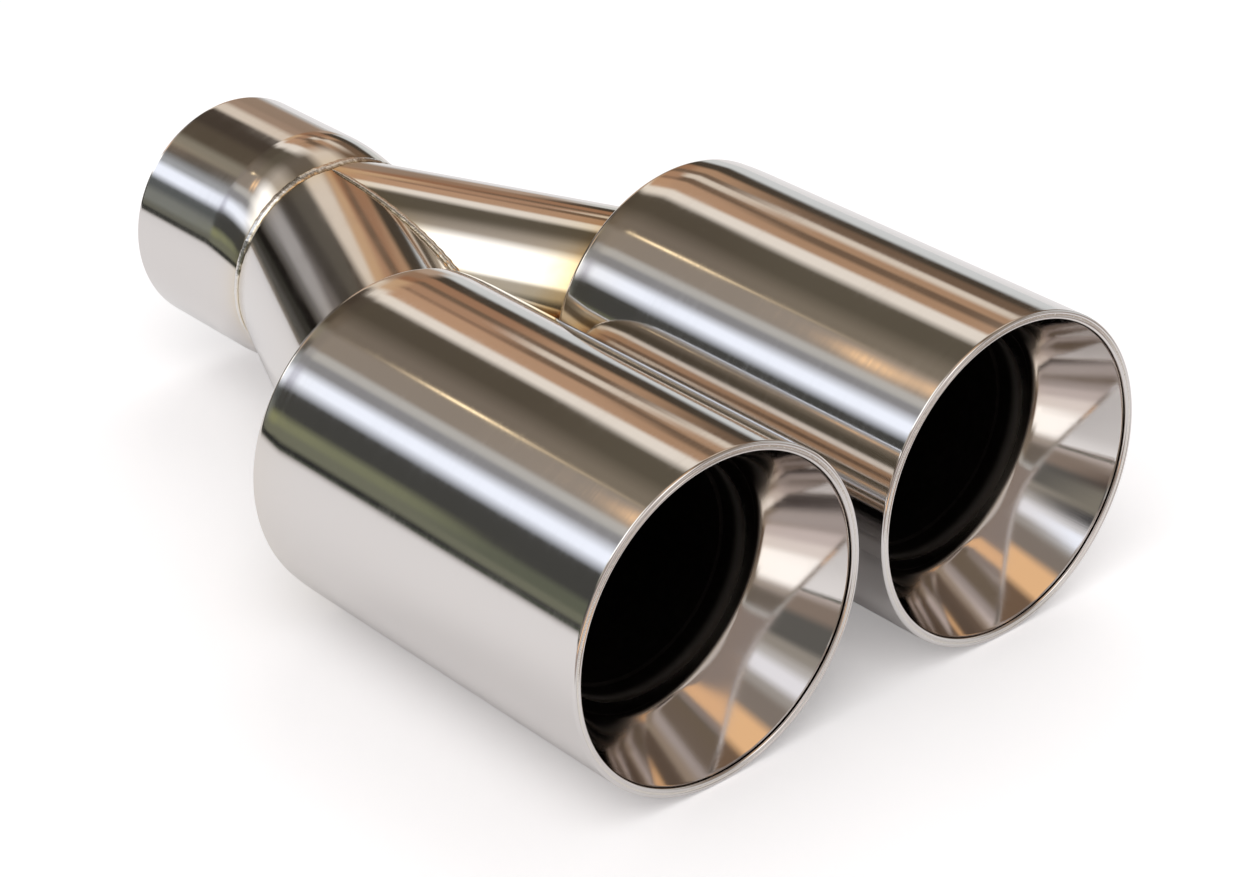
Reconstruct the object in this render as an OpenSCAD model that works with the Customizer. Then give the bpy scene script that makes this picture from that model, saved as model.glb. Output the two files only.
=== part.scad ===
// Twin-outlet stainless exhaust tip: one inlet collar, two bent legs, two double-wall cans.
// The origin is the centre of the inlet mouth. +Y points out of the inlet, the outlets face
// -Y, and the axes of the two cans lie in the plane z = 0. All sizes are in millimetres.

/* [Overall] */
// Length from the inlet mouth to the outlet rims
overall_len = 259; // [230:1:320]

/* [Inlet collar] */
// Bore of the inlet, a loose fit on a 63.5 mm pipe
inlet_bore_d = 63.8; // [62:0.1:66]
// Wall of the collar
collar_wall = 1.2; // [1:0.1:2]
// Length of the straight bore
collar_bore_len = 32; // [20:1:40]
// Length over which the collar is necked in to the legs
collar_neck_len = 16.5; // [14:0.5:24]
// Share of the necking that is left at the sides, where the legs spread
neck_side_share = 0.15; // [0.05:0.05:0.4]
// How much thicker the wall is in the neck, where the metal gathers
neck_gather = 0.1; // [0.05:0.05:0.3]
// How far the neck ends inside the surface of the legs
neck_dive = 0.4; // [0.2:0.1:0.8]

/* [Legs] */
// How much smaller the outside of a leg tube is than the bore of the inlet
leg_step = 6.65; // [6:0.05:7.5]
// Wall of the leg tube
leg_wall = 1.2; // [1:0.1:2]
// Distance from the end of the collar back to the crossing of the two leg axes
branch_set = 4; // [3:0.5:7]
// How far the legs reach into the collar
leg_insert = 4.5; // [3:0.5:7]
// Distance inside the back of a can at which the leg axis meets the can axis
turn_depth = 15; // [12:0.5:20]
// Length of the straight run behind the bend, inside the can
inner_run = 22; // [15:1:30]
// Length of the cone that widens the end of the leg for the dish
swage_len = 10; // [6:1:15]
// Step by which the run inside the can is sized up, per side
sizing_step = 0.3; // [0.2:0.05:0.5]

/* [Cans] */
// Outside diameter of a can
can_od = 88.9; // [86:0.1:92]
// Gap between the two cans
can_gap = 7.4; // [4:0.2:16]
// Length of a can
can_len = 123; // [115:1:140]
// Wall of the outer shell
shell_wall = 1.2; // [1:0.1:2]
// Outer radius of the rounded shoulder at the back of the shell
shoulder_r = 2.5; // [1.5:0.5:6]
// Outer radius of the long bend that leads from the wall to the shoulder
taper_r = 120; // [60:10:200]
// Angle of that bend
taper_angle = 4; // [1:1:10]

/* [Dishes] */
// Wall of the dished front cone
dish_wall = 1.2; // [1:0.1:2]
// Length of the straight land between the rounded lip and the bend
lip_land = 0.25; // [0.1:0.05:2]
// Depth of the corner between cone and neck, from the rim
dish_depth = 25.5; // [20:0.5:32]
// Radius of the bend between land and cone
lip_bend_r = 2; // [1:0.1:3]
// Radius of the bend between cone and neck
throat_bend_r = 25; // [10:1:30]
// How much larger the bore of the neck is than the outside of a leg tube
neck_step = 4.85; // [4:0.05:6]
// Length of the neck
neck_len = 12; // [8:1:18]
// Length of the neck that the leg's end leaves free, behind the corner
neck_free = 2; // [1:0.5:4]

/* [Welds] */
// Width of the bead round each leg at the collar and along the crotch
bead_w = 2.4; // [1.8:0.2:5]
// Height of those beads above the metal
bead_h = 0.35; // [0.2:0.05:1]
// Leg length of the fillet between leg and shell
fillet_w = 2.2; // [1.5:0.1:3]
// Share by which a bead swells at each ripple
ripple = 0.07; // [0:0.01:0.15]
// Distance between ripples
ripple_pitch = 3.2; // [2:0.2:5]
// Width of the seam that closes the lip
seam_w = 0.5; // [0.3:0.05:0.6]

/* [Clearances] */
// Slip between the swaged end of a leg and the neck of the dish, per side
slip = 0.2; // [0.1:0.05:0.3]
// Fit between pieces that are welded together, per side
fit = 0.05; // [0.02:0.01:0.1]

/* [Hidden] */
$fn = 96;

// Radii of the round parts
collar_bore_r = inlet_bore_d / 2;
collar_r = collar_bore_r + collar_wall;
leg_r = (inlet_bore_d - leg_step) / 2;
leg_bore_r = leg_r - leg_wall;
can_r = can_od / 2;
neck_r = leg_r + neck_step / 2;

// Places along the part, as distances from the inlet mouth
collar_len = collar_bore_len + collar_neck_len;
branch_at = collar_len - branch_set;
back_at = overall_len - can_len;
turn_at = back_at + turn_depth;

// The legs spread from the branch point to the axes of the cans
can_x = (can_od + can_gap) / 2;
leg_angle = atan(can_x / (turn_at - branch_at));
leg_ax = leg_r / cos(leg_angle);

// The bend starts where the leg axis has passed the back wall of the can
bend_tangent = (turn_depth - shell_wall) / cos(leg_angle);
bend_r = bend_tangent / tan(leg_angle / 2);
straight_len = can_x / sin(leg_angle) - bend_tangent;
bend_end_at = turn_at + bend_tangent;
swage_at = bend_end_at + inner_run;
swage_r = neck_r - slip;

// At top and bottom the neck of the collar is an arc that starts on the straight bore
neck_drop = collar_r - leg_r + neck_dive;
neck_arc_r = (pow(collar_neck_len, 2) + pow(neck_drop, 2)) / (2 * neck_drop);

// The dish
mouth_r = can_r - shell_wall - dish_wall;
// The cone touches the bend behind the lip and aims at the corner where the neck starts
lip_c = [mouth_r - lip_bend_r, dish_wall / 2 + lip_land];
cone_run = [lip_c[0] - neck_r, dish_depth - lip_c[1]];
cone_angle = atan(cone_run[0] / cone_run[1]) + asin(lip_bend_r / norm(cone_run));
neck_end = dish_depth + throat_bend_r * tan(cone_angle / 2) + neck_len;
leg_end_at = overall_len - neck_end + neck_len - neck_free;

// Length over which the sized end of a leg takes in the bend
sizing_lap = 2;

// Share of a bead's height that its flanks keep where it lies in the crotch
bead_flank = 0.1;

// Stations and points of the beads
ring_steps = 120;
crotch_steps = 48;
bead_arc = 4;

// Points of the arcs in the profiles
neck_steps = 8;
shoulder_steps = 10;
taper_steps = 4;
nose_steps = 8;
lip_steps = 4;
throat_steps = 8;
seam_steps = 6;

// Larger than the whole part
big = 400;

// Points of an arc about (cx, cy), from angle a0 to a1 in n steps
function arc(cx, cy, r, a0, a1, n) =
    [for (i = [0:n]) [cx + r * cos(a0 + (a1 - a0) * i / n), cy + r * sin(a0 + (a1 - a0) * i / n)]];

// Swell of a bead at a distance s along it
function swell(s) = 1 + ripple * cos(360 * s / ripple_pitch);

// Outer radius of the collar at azimuth f and distance d from the mouth. The neck is an oval,
// drawn in most at top and bottom.
function collar_outer(f, d) =
    let (draw = neck_side_share + (1 - neck_side_share) * pow(sin(f), 2))
    d < collar_bore_len ? collar_r
    : collar_r - draw * (neck_arc_r - sqrt(pow(neck_arc_r, 2) - pow(d - collar_bore_len, 2)));

// Radius of the legs' outer surface about the Y axis, at azimuth f and distance d
function legs_outer(f, d) =
    let (c = abs(cos(f)), s = sin(f), x0 = (d - branch_at) * tan(leg_angle),
         qa = pow(c / leg_ax, 2) + pow(s / leg_r, 2), qb = c * x0 / pow(leg_ax, 2),
         qc = pow(x0 / leg_ax, 2) - 1)
    (qb + sqrt(qb * qb - qa * qc)) / qa;

// Distance at which the collar's surface meets the legs' surface at azimuth f, by halving
function seam_at(f, lo, hi, n = 24) =
    let (mid = (lo + hi) / 2)
    n == 0 ? mid
    : collar_outer(f, mid) > legs_outer(f, mid) ? seam_at(f, mid, hi, n - 1)
    : seam_at(f, lo, mid, n - 1);

// A point in the frame from radius, azimuth and distance from the mouth
function polar(r, f, d) = [r * cos(f), -d, r * sin(f)];

// Closed skin over stations of m points each. A ring closes on itself, a run has two caps.
module skin(stations, closed) {
    n = len(stations);
    m = len(stations[0]);
    points = [for (s = stations, p = s) p];
    last = closed ? n - 1 : n - 2;
    sides = [for (i = [0:last], j = [0:m - 1])
        [i * m + j, i * m + (j + 1) % m, ((i + 1) % n) * m + (j + 1) % m, ((i + 1) % n) * m + j]];
    triangles = [for (q = sides, k = [0, 1]) k == 0 ? [q[0], q[1], q[2]] : [q[0], q[2], q[3]]];
    caps = closed ? [] : [[for (j = [m - 1:-1:0]) j], [for (j = [0:m - 1]) (n - 1) * m + j]];
    polyhedron(points = points, faces = concat(triangles, caps));
}

// A profile of [radius, distance from the mouth] turned about an axis parallel to Y
module turned(x, profile) {
    translate([x, 0, 0]) rotate([90, 0, 0]) rotate_extrude() polygon(profile);
}

// The straight part of a leg as a solid of radius r, from the collar towards the can
module leg_rod(side, r, length) {
    translate([0, -branch_at, 0])
        rotate([90, 0, side * leg_angle])
            translate([0, 0, -branch_set - leg_r]) cylinder(r = r, h = length + branch_set + leg_r);
}

// Everything on one side of the mid plane and beyond the legs' back ends
module leg_half(side) {
    translate([side > 0 ? 0 : -big, -big - collar_len + leg_insert, -big / 2]) cube(big);
}

module inlet_collar() {
    // Each station is the wall's section at one azimuth: on the inside to the end of the neck and
    // back along the outside. The straight bore is then cut to size.
    places = concat([0], [for (k = [0:neck_steps]) collar_bore_len + collar_neck_len * k / neck_steps]);
    stations = [for (i = [0:ring_steps - 1])
        let (f = 360 * i / ring_steps)
        concat([for (k = [0:neck_steps + 1])
                   polar(collar_outer(f, places[k]) - collar_wall - neck_gather, f, places[k])],
               [for (k = [neck_steps + 1:-1:0]) polar(collar_outer(f, places[k]), f, places[k])])];
    color("silver") difference() {
        skin(stations, true);
        translate([0, -collar_bore_len, 0]) rotate([-90, 0, 0])
            cylinder(r = collar_bore_r, h = 2 * collar_bore_len, $fn = 3 * ring_steps);
        for (side = [-1, 1])
            intersection() {
                leg_rod(side, leg_r + fit, straight_len);
                leg_half(side);
            }
    }
}

// The right leg. The left one is its mirror image. Straight run and bend are drawn about the
// centre of the bend, and the sized end takes in the last of the bend.
module leg() {
    start_at = bend_end_at - sizing_lap;
    end_wall = [
        [leg_bore_r + sizing_step, start_at], [leg_r + sizing_step, start_at],
        [leg_r + sizing_step, swage_at], [swage_r, swage_at + swage_len], [swage_r, leg_end_at],
        [swage_r - leg_wall, leg_end_at], [swage_r - leg_wall, swage_at + swage_len],
        [leg_bore_r + sizing_step, swage_at]];
    color("lightgray") {
        intersection() {
            translate([can_x - bend_r, -bend_end_at, 0]) rotate([0, 0, leg_angle]) {
                translate([bend_r, 0, 0]) rotate([-90, 0, 0])
                    linear_extrude(height = straight_len + leg_r) tube_section();
                rotate([180, 0, 0])
                    rotate_extrude(angle = leg_angle) translate([bend_r, 0]) tube_section();
            }
            leg_half(1);
        }
        turned(can_x, end_wall);
    }
}

module tube_section() {
    difference() {
        circle(leg_r);
        circle(leg_bore_r);
    }
}

module left_leg() {
    mirror([1, 0, 0]) leg();
}

module right_leg() {
    leg();
}

module collar_weld() {
    // Each station is the bead's section at one azimuth: under face on the collar, corner,
    // under face on the leg, then the crown back to the collar
    stations = [for (i = [0:ring_steps - 1])
        let (f = 360 * i / ring_steps, d = seam_at(f, collar_bore_len, collar_len),
             w = bead_w / 2 * swell(collar_r * f * PI / 180),
             a = [collar_outer(f, d - w) + fit, d - w], c = [collar_outer(f, d) + fit, d],
             b = [legs_outer(f, d + w) + fit, d + w],
             up = [b[1] - a[1], a[0] - b[0]] / norm(b - a))
        concat([polar(c[0], f, c[1])],
               [for (k = [0:bead_arc])
                   let (p = b + (a - b) * k / bead_arc + up * bead_h * sin(180 * k / bead_arc))
                   polar(p[0], f, p[1])])];
    color("gainsboro") skin(stations, true);
}

module crotch_weld() {
    // The legs meet on the mid plane in an ellipse, and the bead lies in the valley between them
    start_d = seam_at(90, collar_bore_len, collar_len) + bead_w / 2 * (1 + ripple) + fit;
    start_t = acos((start_d - branch_at) * sin(leg_angle) / leg_r);
    stations = [for (i = [0:crotch_steps])
        let (t = start_t * (1 - 2 * i / crotch_steps),
             n = [0, -sin(leg_angle) * cos(t), sin(t)] / norm([sin(leg_angle) * cos(t), sin(t)]),
             c = [0, -branch_at - leg_r * cos(t) / sin(leg_angle), leg_r * sin(t)] + n * fit,
             w = bead_w * swell(leg_r / sin(leg_angle) * t * PI / 180),
             a = w * [sin(leg_angle), -cos(leg_angle), 0],
             b = w * [-sin(leg_angle), -cos(leg_angle), 0])
        concat([c], [for (k = [0:bead_arc])
            c + a + (b - a) * k / bead_arc
            + n * bead_h * (bead_flank + sin(180 * k / bead_arc))])];
    color("gainsboro") skin(stations, false);
}

module shell(side) {
    nose = shell_wall / 2;
    corner_r = can_r - taper_r + (taper_r - shoulder_r) * cos(taper_angle);
    corner_at = back_at + shoulder_r;
    taper_at = corner_at + (taper_r - shoulder_r) * sin(taper_angle);
    inner_shoulder_r = shoulder_r - shell_wall;
    outside = concat(
        arc(can_r - nose, overall_len - nose, nose, 180, 0, nose_steps),
        arc(can_r - taper_r, taper_at, taper_r, 0, -taper_angle, taper_steps),
        arc(corner_r, corner_at, shoulder_r, -taper_angle, -90, shoulder_steps));
    inside = concat(
        arc(corner_r, corner_at, inner_shoulder_r, -90, -taper_angle, shoulder_steps),
        arc(can_r - taper_r, taper_at, taper_r - shell_wall, -taper_angle, 0, taper_steps));
    wall = concat(outside, [[0, back_at], [0, back_at + shell_wall]], inside);
    color("silver") difference() {
        turned(side * can_x, wall);
        leg_rod(side, leg_r + fit, straight_len + leg_r);
    }
}

module left_shell() {
    shell(-1);
}

module right_shell() {
    shell(1);
}

module shell_weld(side) {
    // A fillet that goes round the leg on the flat back of the shell
    centre_x = (back_at - branch_at) * tan(leg_angle);
    along = [-sin(leg_angle), cos(leg_angle), 0];
    stations = [for (i = [0:ring_steps - 1])
        let (f = 360 * i / ring_steps, c = cos(f), s = sin(f),
             out = [c / leg_ax, 0, s / leg_r] / norm([c / leg_ax, s / leg_r]),
             root = [centre_x + leg_ax * c, -back_at, leg_r * s] + out * fit,
             w = fillet_w * swell(leg_r * f * PI / 180))
        concat([root], [for (k = [0:bead_arc])
            root + w * (cos(90 * k / bead_arc) * along + sin(90 * k / bead_arc) * out)])];
    color("gainsboro") mirror([side > 0 ? 0 : 1, 0, 0]) skin(stations, true);
}

module left_shell_weld() {
    shell_weld(-1);
}

module right_shell_weld() {
    shell_weld(1);
}

module dish(side) {
    nose = dish_wall / 2;
    throat_t = throat_bend_r * tan(cone_angle / 2);
    throat_c = [neck_r + throat_bend_r, dish_depth + throat_t];
    // Depths from the rim: the side that shows, then the side that faces the shell
    front = concat(
        arc(lip_c[0], lip_c[1], lip_bend_r, 0, cone_angle, lip_steps),
        arc(throat_c[0], throat_c[1], throat_bend_r, 180 + cone_angle, 180, throat_steps),
        [[neck_r, neck_end], [neck_r + dish_wall, neck_end]]);
    back = concat(
        arc(throat_c[0], throat_c[1], throat_bend_r - dish_wall, 180, 180 + cone_angle,
            throat_steps),
        arc(lip_c[0], lip_c[1], lip_bend_r + dish_wall, cone_angle, 0, lip_steps));
    lip = arc(mouth_r + nose, nose, nose, 0, -180, nose_steps);
    section = concat(front, back, lip);
    color("silver") turned(side * can_x, [for (p = section) [p[0], overall_len - p[1]]]);
}

module left_dish() {
    dish(-1);
}

module right_dish() {
    dish(1);
}

module rim_weld(side) {
    // The seam fills the groove between the round edges of shell and dish
    joint_r = can_r - shell_wall;
    outer_nose = shell_wall / 2;
    inner_nose = dish_wall / 2;
    outer_open = acos(1 - seam_w / 2 / outer_nose);
    inner_open = acos(1 - seam_w / 2 / inner_nose);
    outer_side = [for (k = [1:seam_steps])
        [joint_r + outer_nose * (1 - cos(outer_open * k / seam_steps)),
         outer_nose * (1 - sin(outer_open * k / seam_steps))]];
    inner_side = [for (k = [seam_steps:-1:1])
        [joint_r - inner_nose * (1 - cos(inner_open * k / seam_steps)),
         inner_nose * (1 - sin(inner_open * k / seam_steps))]];
    root = [joint_r, min(outer_nose, inner_nose)];
    section = concat([root], outer_side, inner_side);
    color("gainsboro") turned(side * can_x, [for (p = section) [p[0], overall_len - p[1]]]);
}

module left_rim_weld() {
    rim_weld(-1);
}

module right_rim_weld() {
    rim_weld(1);
}

inlet_collar();
left_leg();
right_leg();
collar_weld();
crotch_weld();
left_shell();
right_shell();
left_shell_weld();
right_shell_weld();
left_dish();
right_dish();
left_rim_weld();
right_rim_weld();
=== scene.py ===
"""Looks for the twin-outlet stainless exhaust tip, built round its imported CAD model.

The frame is the CAD model's: the centre of the inlet's mouth is the origin, +Y points out of the
inlet, the outlets face -Y and the axes of the two cans lie in the plane z = 0. Sizes are given
in millimetres, as on a drawing, and become metres when a mesh is made.
"""

from math import acos, asin, atan, cos, hypot, pi, radians, sin, tan

import bmesh
import bpy
import numpy as np
from mathutils import Matrix


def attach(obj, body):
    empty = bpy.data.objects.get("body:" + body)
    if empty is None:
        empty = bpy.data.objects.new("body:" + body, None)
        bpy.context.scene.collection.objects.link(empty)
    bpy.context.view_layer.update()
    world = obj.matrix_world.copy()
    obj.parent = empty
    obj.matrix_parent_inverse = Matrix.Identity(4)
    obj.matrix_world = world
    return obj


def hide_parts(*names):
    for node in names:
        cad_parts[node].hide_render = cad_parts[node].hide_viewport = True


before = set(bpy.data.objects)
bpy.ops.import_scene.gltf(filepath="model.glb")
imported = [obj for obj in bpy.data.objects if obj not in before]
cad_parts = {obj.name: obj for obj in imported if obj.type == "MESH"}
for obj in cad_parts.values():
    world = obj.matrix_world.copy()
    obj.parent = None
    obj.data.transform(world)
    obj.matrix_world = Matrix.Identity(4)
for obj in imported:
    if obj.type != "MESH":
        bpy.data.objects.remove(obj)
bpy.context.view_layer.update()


# Inlet collar
# A short tube of polished stainless steel that slides over the tailpipe. Its far end is necked
# in to the two legs and trimmed to their curve, where it is welded to them all round.
overall_len = 259.0
collar_bore_r = 31.9
collar_wall = 1.2
collar_bore_len = 32.0
collar_neck_len = 16.5
neck_side_share = 0.15
neck_gather = 0.1
neck_dive = 0.4
mouth_edge_r = 0.3
leg_r = 28.575
branch_set = 4.0  # how far inside the collar's end the axes of the legs meet
leg_insert = 4.5  # how far inside it the legs begin
can_r = 44.45
can_gap = 7.4
can_len = 123.0
turn_depth = 15.0  # how far inside the can the axes of leg and can cross
weld_fit = 0.05
same_point = 0.002  # points closer than this become one
collar_tint = 0.35
bore_tint = 0.25
tint_fade = 3.0  # length over which a tint sinks to about a third
collar_sides = 320
collar_r = collar_bore_r + collar_wall
collar_len = collar_bore_len + collar_neck_len
branch_at = collar_len - branch_set
legs_start_at = collar_len - leg_insert
can_back_at = overall_len - can_len
turn_at = can_back_at + turn_depth
can_x = can_r + can_gap / 2
leg_angle = atan(can_x / (turn_at - branch_at))
leg_ax = leg_r / cos(leg_angle)
neck_drop = collar_r - leg_r + neck_dive
neck_arc_r = (collar_neck_len**2 + neck_drop**2) / (2 * neck_drop)


def collar_outer(turn, d):
    """The collar's outer radius at angle turn and distance d from its mouth: the tube's own
    radius, then an arc that leaves it level and sinks towards the legs, with little of that at
    the sides, so that the neck is an oval."""
    past = np.clip(d - collar_bore_len, 0, None)
    draw = neck_side_share + (1 - neck_side_share) * np.sin(turn) ** 2
    return collar_r - draw * (neck_arc_r - np.sqrt(neck_arc_r**2 - past**2))


def legs_outer(turn, d):
    """Radius of the legs' skin about the Y axis at angle turn and distance d. A leg cuts that
    plane in an ellipse whose centre has moved sideways, and this is the far root of the ray that
    meets it."""
    c, s = np.abs(np.cos(turn)), np.sin(turn)
    shift = (d - branch_at) * tan(leg_angle)
    qa = (c / leg_ax) ** 2 + (s / leg_r) ** 2
    qb = c * shift / leg_ax**2
    qc = (shift / leg_ax) ** 2 - 1
    return (qb + np.sqrt(np.maximum(qb**2 - qa * qc, 0))) / qa


def seam_at(turn, inset=0.0):
    """Distance from the mouth at which the collar's surface, less inset, meets the legs' skin,
    found by halving the neck thirty times."""
    near, far = np.full_like(turn, collar_bore_len), np.full_like(turn, collar_len)
    for _ in range(30):
        mid = (near + far) / 2
        above = collar_outer(turn, mid) - inset > legs_outer(turn, mid)
        near, far = np.where(above, mid, near), np.where(above, far, mid)
    return (near + far) / 2


def around(count):
    """Equal steps of a full turn, in radians."""
    return np.arange(count) * 2 * pi / count


def shares(steps, edge=0.02):
    """Steps from 0 to 1, with one more close to each end, so that the shading of a flat or a
    straight stays true up to its corner."""
    return np.concatenate([[0, edge], np.linspace(0, 1, steps + 1)[1:-1], [1 - edge, 1]])


def polar(r, turn, d):
    """Points at radius r and angle turn about the Y axis, at distance d from the inlet's mouth."""
    return np.stack(np.broadcast_arrays(r * np.cos(turn), -d, r * np.sin(turn)), -1)


def placed(name, data):
    """A new object in the scene that holds a mesh, a lamp or a camera."""
    made = bpy.data.objects.new(name, data)
    bpy.context.scene.collection.objects.link(made)
    return made


def skin(name, points, ring=True, sharp=32, **masks):
    """A closed mesh over a grid of points. Each station closes on itself, and the stations close
    on each other where ring is true, else they end in a point. Points that fall together become
    one, and the faces are turned outwards if the volume they enclose comes out negative. Each
    mask is a value for every point, kept under its own name for the material."""
    rows, columns = points.shape[:2]
    row, column = np.meshgrid(
        np.arange(rows if ring else rows - 1), np.arange(columns), indexing="ij")
    below, beside = (row + 1) % rows, (column + 1) % columns
    quads = np.stack([row * columns + column, row * columns + beside,
                      below * columns + beside, below * columns + column], -1).reshape(-1, 4)
    flat = points.reshape(-1, 3) / 1000
    a, b, c, d = (flat[quads[:, k]] for k in range(4))
    if np.sum(np.cross(a, b) * c + np.cross(a, c) * d) < 0:
        quads = quads[:, ::-1]
    mesh = bpy.data.meshes.new(name)
    mesh.from_pydata(flat.tolist(), [], quads.tolist())
    for mask, values in masks.items():
        layer = mesh.attributes.new(mask, "FLOAT", "POINT")
        values = np.broadcast_to(values, (rows, columns)).astype(np.float32)
        layer.data.foreach_set("value", values.ravel())
    shape = bmesh.new()
    shape.from_mesh(mesh)
    bmesh.ops.remove_doubles(shape, verts=shape.verts, dist=same_point / 1000)
    shape.to_mesh(mesh)
    shape.free()
    mesh.shade_smooth()
    mesh.set_sharp_from_angle(angle=radians(sharp))
    return placed(name, mesh)


def fit(piece, node, material):
    """Gives a piece its material and its place on the body, and hides the CAD node that it stands for.
    """
    piece.data.materials.append(material)
    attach(piece, "root")
    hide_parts(node)


def put(tree, kind, sockets=(), values=(), **settings):
    """A new shader node with its settings, the sockets that feed it and its plain values. The
    sockets of a Mix node go by number: 0 is the share, 2 and 3 are numbers to mix, and 6 and 7
    colours."""
    made = tree.nodes.new(kind)
    for key, value in settings.items():
        setattr(made, key, value)
    for key, value in dict(values).items():
        made.inputs[key].default_value = value
    for key, socket in dict(sockets).items():
        tree.links.new(socket, made.inputs[key])
    return made


def remap(tree, value, start=0.0, end=1.0, low=0.0, high=1.0):
    """A value carried from the range start to end into the range low to high, and held there."""
    return put(tree, "ShaderNodeMapRange", {"Value": value}, {
        "From Min": start, "From Max": end, "To Min": low, "To Max": high}).outputs[0]


def combine(tree, operation, *values):
    """What a Math node makes of one or two sockets."""
    made = put(tree, "ShaderNodeMath", dict(enumerate(values)), operation=operation)
    return made.outputs[0]


def group(name, inputs, outputs):
    """A new shader node group with named sockets. Returns its tree and its two end nodes."""
    tree = bpy.data.node_groups.new(name, "ShaderNodeTree")
    for way, sockets in (("INPUT", inputs), ("OUTPUT", outputs)):
        for socket, kind in sockets:
            tree.interface.new_socket(socket, in_out=way, socket_type="NodeSocket" + kind)
    return tree, tree.nodes.new("NodeGroupInput").outputs, tree.nodes.new("NodeGroupOutput").inputs


def ramp(tree, factor, stops, **settings):
    """A colour ramp with the given places and colours, fed by factor."""
    made = put(tree, "ShaderNodeValToRGB", {0: factor}, **settings)
    while len(made.color_ramp.elements) < len(stops):
        made.color_ramp.elements.new(0.5)
    for element, (place, colour) in zip(made.color_ramp.elements, stops):
        element.position, element.color = place, (*colour, 1)
    return made.outputs[0]


def blank_material(name):
    """A new material, and the tree of its nodes."""
    material = bpy.data.materials.new(name)
    material.use_nodes = True
    return material, material.node_tree


def buffing_group():
    """What the buffing wheel leaves: fine lines, that is noise over stretched coordinates, long
    shallow waves, that is slow noise, and patches of haze where the polish is less deep."""
    tree, given, out = group(
        "buffing",
        [("Place", "Vector"), ("Lines", "Vector"), ("Line Depth", "Float"), ("Wave Depth", "Float")],
        [("Height", "Float"), ("Haze", "Float")])
    lines = put(tree, "ShaderNodeTexNoise", {"Vector": given["Lines"]},
                {"Scale": 1.0, "Detail": 5.0, "Roughness": 0.7}).outputs["Fac"]
    waves = put(tree, "ShaderNodeTexNoise", {"Vector": given["Place"]},
                {"Scale": 38.0, "Detail": 1.0}).outputs["Fac"]
    patches = put(tree, "ShaderNodeTexNoise", {"Vector": given["Place"]},
                  {"Scale": 55.0, "Detail": 4.0, "Roughness": 0.6}).outputs["Fac"]
    line = combine(tree, "MULTIPLY", lines, given["Line Depth"])
    wave = combine(tree, "MULTIPLY", waves, given["Wave Depth"])
    both = combine(tree, "MULTIPLY", lines, patches)
    tree.links.new(combine(tree, "ADD", line, wave), out["Height"])
    tree.links.new(remap(tree, both, 0.2, 0.42), out["Haze"])
    return tree


def heat_tint_and_throat_shade_group():
    """The oxide colours beside a weld, and the faint warm painted shade round a dish's throat: the
    mask, broken up by noise, picks straw, gold, brown and violet from a ramp, which multiplies the
    metal's colour."""
    tree, given, out = group(
        "heat_tint_and_throat_shade", [("Metal", "Color"), ("Heat And Throat Shade", "Float"), ("Place", "Vector")],
        [("Color", "Color")])
    drift = put(tree, "ShaderNodeTexNoise", {"Vector": given["Place"]}, {"Scale": 90.0, "Detail": 3.0})
    share = remap(tree, drift.outputs["Fac"], 0.3, 0.7, 0.72, 1.1)
    tint = ramp(tree, combine(tree, "MULTIPLY", given["Heat And Throat Shade"], share), [
        (0.0, (1, 1, 1)), (0.3, (1, 0.93, 0.78)), (0.55, (0.95, 0.76, 0.47)),
        (0.78, (0.62, 0.41, 0.23)), (1.0, (0.34, 0.24, 0.26))])
    mixed = put(tree, "ShaderNodeMix", {6: given["Metal"], 7: tint}, {0: 1.0},
                data_type="RGBA", blend_type="MULTIPLY")
    tree.links.new(mixed.outputs[2], out["Color"])
    return tree


def unpolished_and_shaded_group():
    """The inside of the tube, which the wheel never reaches: the mask mixes the polished colour
    and roughness into a dull dark colour with faint drawing lines. That colour is a dull oxide in
    the collar and cans, and near-black painted shade in the legs and dishes."""
    tree, given, out = group(
        "unpolished_and_shaded",
        [("Color", "Color"), ("Roughness", "Float"), ("Inside", "Float"), ("Place", "Vector"),
         ("Oxide And Shade", "Color")],
        [("Color", "Color"), ("Roughness", "Float")])
    grain = put(tree, "ShaderNodeTexNoise", {"Vector": given["Place"]},
                {"Scale": 260.0, "Detail": 5.0, "Roughness": 0.7})
    shade = remap(tree, grain.outputs["Fac"], 0.25, 0.75, 0.6, 1.4)
    oxide = put(tree, "ShaderNodeVectorMath", {0: given["Oxide And Shade"], 3: shade}, operation="SCALE")
    colour = put(tree, "ShaderNodeMix",
                 {0: given["Inside"], 6: given["Color"], 7: oxide.outputs[0]}, data_type="RGBA")
    rough = put(tree, "ShaderNodeMix", {0: given["Inside"], 2: given["Roughness"]}, {3: 0.62},
                data_type="FLOAT")
    tree.links.new(colour.outputs[2], out["Color"])
    tree.links.new(rough.outputs[0], out["Roughness"])
    return tree


buffing, heat_tint_and_throat_shade, unpolished_and_shaded = buffing_group(), heat_tint_and_throat_shade_group(), unpolished_and_shaded_group()


def tinted(tree, metal, place):
    """The metal's colour under the colours of the tint mask: heat tint beside the welds, and a
    faint warm painted shade round the throats of the dishes. The mask isn't called heat, because
    the renderer keeps that name for flames and would read nothing."""
    tint = put(tree, "ShaderNodeGroup", node_tree=heat_tint_and_throat_shade)
    mask = put(tree, "ShaderNodeAttribute", attribute_name="weld_tint").outputs["Fac"]
    tint.inputs["Metal"].default_value = (*metal, 1)
    tree.links.new(mask, tint.inputs["Heat And Throat Shade"])
    tree.links.new(place, tint.inputs["Place"])
    return tint.outputs["Color"]


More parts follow.
